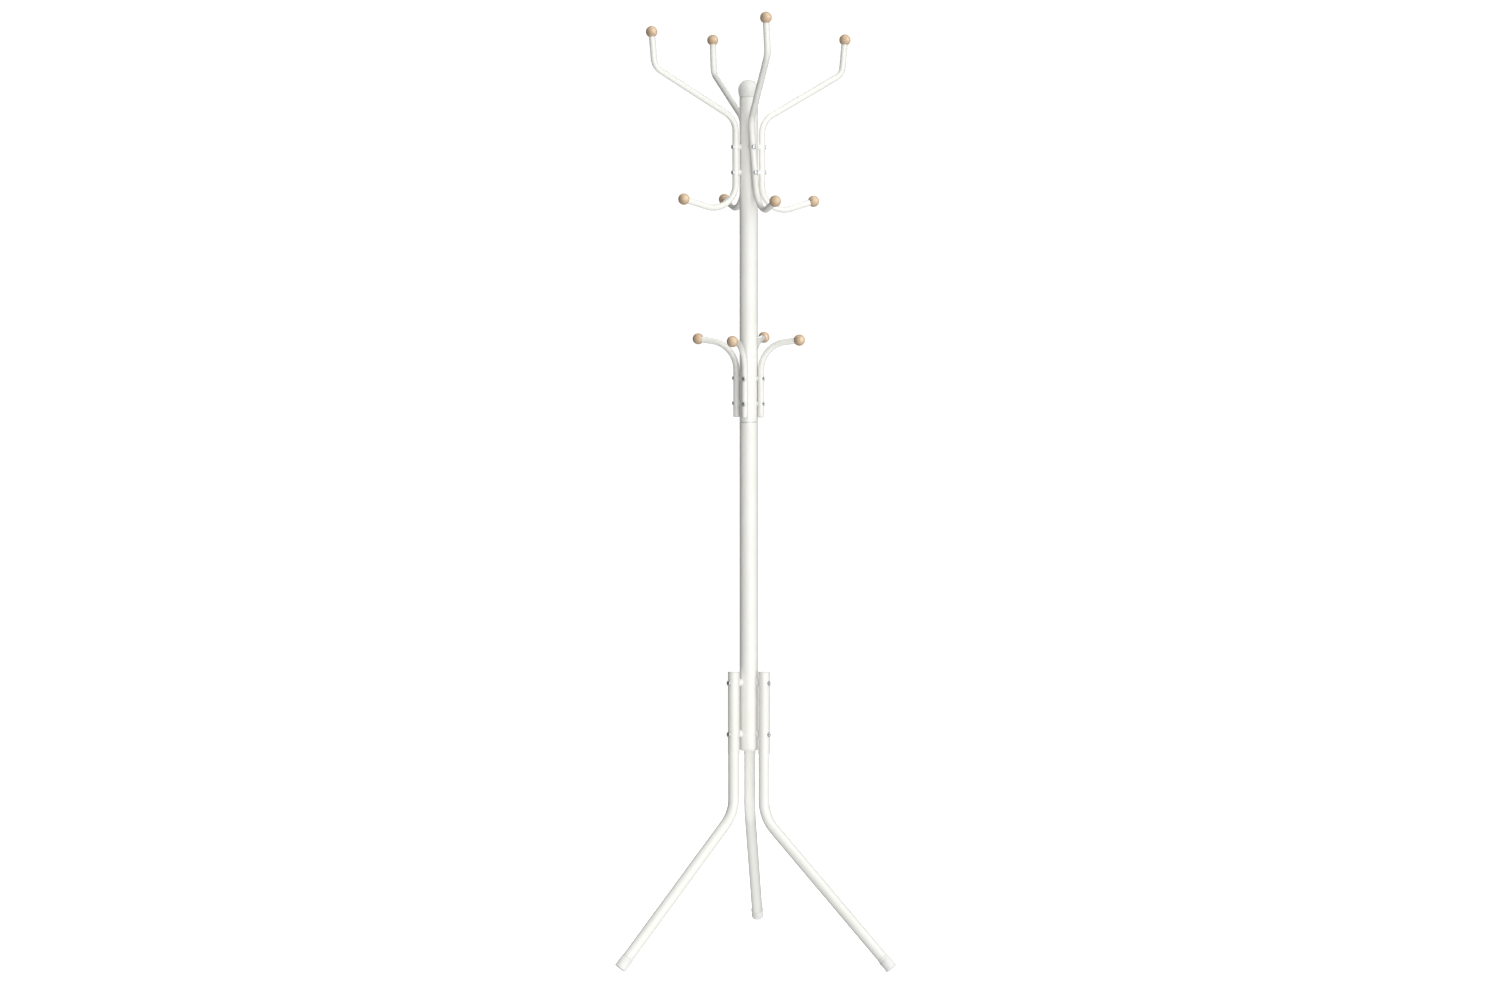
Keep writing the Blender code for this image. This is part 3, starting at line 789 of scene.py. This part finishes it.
for word, setting in TOP_ARMS.items():
    top_arm(word, **setting)
for word, angle in MIDDLE_HOOKS.items():
    middle_hook(word, angle)
for word, setting in LEGS.items():
    leg(word, **setting)
post_section("upper_post", SEAM_Z + SEAM_GAP / 2, POST_TOP)
post_section("lower_post", POST_BOTTOM, SEAM_Z - SEAM_GAP / 2)
post_joiner()
post_cap()
post_bottom_plug()


# ---------------------------------------------------------------- studio and camera


def add_sun(name, right, up, softness, strength):
    """A soft distant light, which comes from this many degrees to the right and up, as the camera sees it."""
    lamp = bpy.data.lights.new(name, "SUN")
    lamp.energy = strength
    lamp.angle = math.radians(softness)
    obj = bpy.data.objects.new(name, lamp)
    bpy.context.scene.collection.objects.link(obj)
    azimuth, height = math.radians(right), math.radians(up)
    level = math.cos(height)
    source = Vector((math.sin(azimuth) * level, -math.cos(azimuth) * level, math.sin(height)))
    obj.rotation_mode = "QUATERNION"
    obj.rotation_quaternion = source.to_track_quat("Z", "Y")
    return obj


def only_for(word, lamp):
    """Lets a lamp reach only the pieces with this word in their names."""
    pieces = bpy.data.collections.new(lamp.name + "_reaches")
    for obj in bpy.context.scene.objects:
        if word in obj.name:
            pieces.objects.link(obj)
    lamp.light_linking.receiver_collection = pieces


def studio_world():
    """White to the eye all round. As light it comes from the floor, the ceiling and the backdrop."""
    world = bpy.data.worlds.new("studio")
    bpy.context.scene.world = world
    world.use_nodes = True
    nodes, links = world.node_tree.nodes, world.node_tree.links
    heading = nodes.new("ShaderNodeTexCoord").outputs["Generated"]
    total = None
    for side, strength in WORLD_LIGHT.items():
        facing = nodes.new("ShaderNodeVectorMath")
        facing.operation = "DOT_PRODUCT"
        links.new(heading, facing.inputs[0])
        facing.inputs[1].default_value = side
        lit = nodes.new("ShaderNodeMapRange")
        lit.inputs["To Max"].default_value = strength
        links.new(facing.outputs["Value"], lit.inputs["Value"])
        if total is None:
            total = lit.outputs["Result"]
            continue
        both = nodes.new("ShaderNodeMath")
        links.new(total, both.inputs[0])
        links.new(lit.outputs["Result"], both.inputs[1])
        total = both.outputs[0]
    bounced = nodes["Background"]
    bounced.inputs["Color"].default_value = WHITE
    links.new(total, bounced.inputs["Strength"])
    white = nodes.new("ShaderNodeBackground")
    white.inputs["Color"].default_value = WHITE
    white.inputs["Strength"].default_value = WORLD_SEEN
    path = nodes.new("ShaderNodeLightPath")
    mix = nodes.new("ShaderNodeMixShader")
    links.new(path.outputs["Is Camera Ray"], mix.inputs[0])
    links.new(bounced.outputs[0], mix.inputs[1])
    links.new(white.outputs[0], mix.inputs[2])
    links.new(mix.outputs[0], nodes["World Output"].inputs["Surface"])


def studio_floor():
    """A round white paper floor with a light of its own. It neither shades nor lights the rack."""
    mesh = bpy.data.meshes.new("studio_floor")
    mesh.from_pydata(ring(FLOOR_R, FLOOR_Z, POST_SIDES), [], [tuple(range(POST_SIDES))])
    paper = Nodes("floor_paper")
    tone = paper.noise(paper.add("ShaderNodeTexCoord").outputs["Object"], 3.0, 2.0)
    stops = [(0.3, (0.93, 0.93, 0.93)), (0.7, (0.95, 0.95, 0.95))]
    paper.set_shader("Base Color", paper.ramp(tone, stops))
    paper.set_shader("Roughness", 0.8)
    mesh.materials.append(paper.material)
    floor = bpy.data.objects.new("studio_floor", mesh)
    bpy.context.scene.collection.objects.link(floor)
    floor.visible_diffuse = False
    floor.visible_glossy = False
    floor.visible_shadow = False
    light = add_sun("floor_light", *FLOOR_LIGHT)
    light.data.use_shadow = False
    only_for("studio_floor", light)


def studio():
    """A pale floor, white all round, and soft lights in front, mostly from the right.

    The balls, the bolts and the back leg each have a light of their own, which reaches nothing else.
    """
    bpy.context.scene.view_settings.view_transform = "Standard"
    studio_world()
    studio_floor()
    for name, setting in LIGHTS.items():
        add_sun(name, *setting)
    only_for("_ball_", add_sun("ball_light", *BALL_LIGHT))
    only_for("_bolt_", add_sun("bolt_light", *BOLT_LIGHT))
    fill = add_sun("back_leg_light", *BACK_LEG_LIGHT)
    fill.data.use_shadow = False
    only_for("leg_back", fill)


def camera():
    """In front of the rack, level with its upper third, looking slightly down."""
    lens = bpy.data.cameras.new("camera")
    lens.lens = LENS
    lens.sensor_width = 36.0
    obj = bpy.data.objects.new("camera", lens)
    bpy.context.scene.collection.objects.link(obj)
    obj.location = POST_AXIS + Vector(CAMERA_AT)
    obj.rotation_euler = (math.radians(90 - CAMERA_TILT), 0.0, 0.0)
    bpy.context.scene.camera = obj


studio()
camera()
